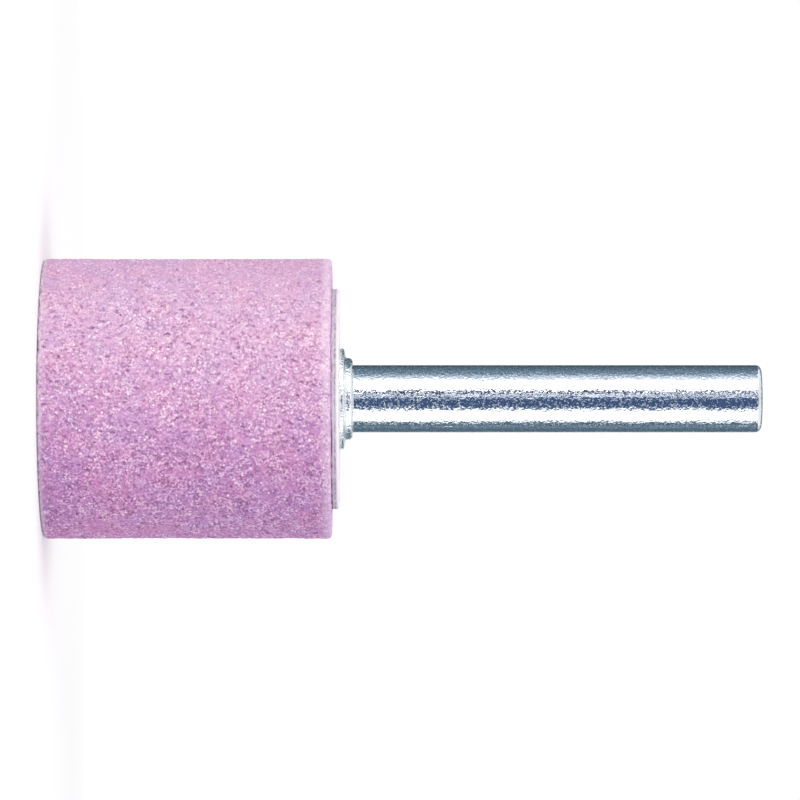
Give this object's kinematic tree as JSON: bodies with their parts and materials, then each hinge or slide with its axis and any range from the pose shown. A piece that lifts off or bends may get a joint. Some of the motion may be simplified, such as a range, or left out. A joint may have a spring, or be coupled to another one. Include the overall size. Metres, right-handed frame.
{
  "type": "mounted point",
  "caption": "Straight cylindrical grinding stone of pink vitrified abrasive, cemented on a plain steel shank that a die grinder's collet grips.",
  "frame": {"origin": "centre of the stone's flat end, on the floor the part stands on", "axes": "+Z along the axis of the shank, from the stone to the free end of the shank"},
  "size_m": [0.025, 0.025, 0.064],
  "materials": {
    "abrasive": "matte, open grain",
    "cement": "matte",
    "card": "matte",
    "plated_steel": "bright zinc plating"
  },
  "bodies": {
    "root": {"abrasive_head": "abrasive", "cement": "cement", "backing_disc": "card", "shank": "plated_steel"}
  },
  "joints": []
}
